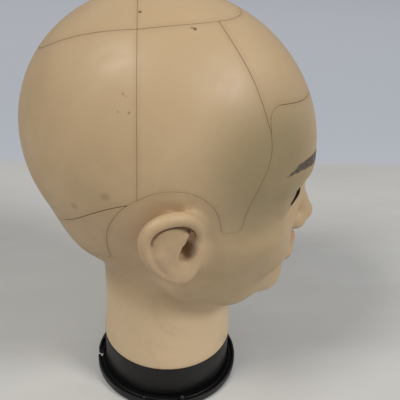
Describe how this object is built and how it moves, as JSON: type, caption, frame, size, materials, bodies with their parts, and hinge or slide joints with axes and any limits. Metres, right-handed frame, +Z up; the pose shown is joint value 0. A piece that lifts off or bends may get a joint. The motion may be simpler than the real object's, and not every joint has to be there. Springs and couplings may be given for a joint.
{
  "type": "mannequin training head",
  "caption": "Sectional mannequin training head with magnetic scalp panels on a hollow core, turning on a round flanged base with a clamp socket.",
  "frame": {"origin": "centre of the clamp socket's mouth, on the swivel axis at the underside of the base", "axes": "+Z up along the swivel axis, the face looks along -Y, the head's left ear is at +X"},
  "size_m": [0.1754, 0.1928, 0.288],
  "materials": {
    "skin": "satin vinyl, tan",
    "scalp": "satin vinyl, tan",
    "magnet": "nickel-plated",
    "core": "moulded, off-white",
    "black_plastic": "satin black",
    "socket": "moulded black",
    "steel": "zinc-plated",
    "acetal": "moulded white",
    "rubber": "matte",
    "lash": "matte dark brown"
  },
  "bodies": {
    "base": {"foot_ring": "rubber", "base_flange": "black_plastic", "boss_screws": "steel", "clamp_socket": "socket", "socket_screws": "steel", "glide_ring": "acetal", "thrust_washer": "steel", "wave_spring": "steel", "retaining_clip": "steel"},
    "head": {"face_neck_skin": "skin", "upper_lash_right": "lash", "upper_lash_left": "lash", "neck_collar": "black_plastic", "skull_core": "core", "core_screws": "steel", "core_magnets": "magnet"},
    "crown_front": {"crown_front_panel": "scalp", "crown_front_magnets": "magnet"},
    "crown_back": {"crown_back_panel": "scalp", "crown_back_magnets": "magnet"},
    "fringe": {"fringe_panel": "scalp", "fringe_magnets": "magnet"},
    "side_right": {"side_panel_right": "scalp", "side_magnets_right": "magnet"},
    "side_left": {"side_panel_left": "scalp", "side_magnets_left": "magnet"},
    "back": {"back_panel": "scalp", "back_magnets": "magnet"},
    "nape": {"nape_panel": "scalp", "nape_magnets": "magnet"}
  },
  "joints": [
    {"name": "head_swivel", "type": "hinge", "parent": "base", "child": "head", "pos_m": [0, 0, 0.0084], "axis": [0, 0, 1], "continuous": true},
    {"name": "crown_front_lift", "type": "slide", "parent": "head", "child": "crown_front", "axis": [0, 0, 1], "range_m": [0, 0.04]},
    {"name": "crown_back_lift", "type": "slide", "parent": "head", "child": "crown_back", "axis": [0, 0, 1], "range_m": [0, 0.04]},
    {"name": "fringe_lift", "type": "slide", "parent": "head", "child": "fringe", "axis": [0, 0, 1], "range_m": [0, 0.04]},
    {"name": "side_right_lift", "type": "slide", "parent": "head", "child": "side_right", "axis": [-1, 0, 0], "range_m": [0, 0.04]},
    {"name": "side_left_lift", "type": "slide", "parent": "head", "child": "side_left", "axis": [1, 0, 0], "range_m": [0, 0.04]},
    {"name": "back_lift", "type": "slide", "parent": "head", "child": "back", "axis": [0, 1, 0], "range_m": [0, 0.04]},
    {"name": "nape_lift", "type": "slide", "parent": "head", "child": "nape", "axis": [0, 1, 0], "range_m": [0, 0.04]}
  ]
}
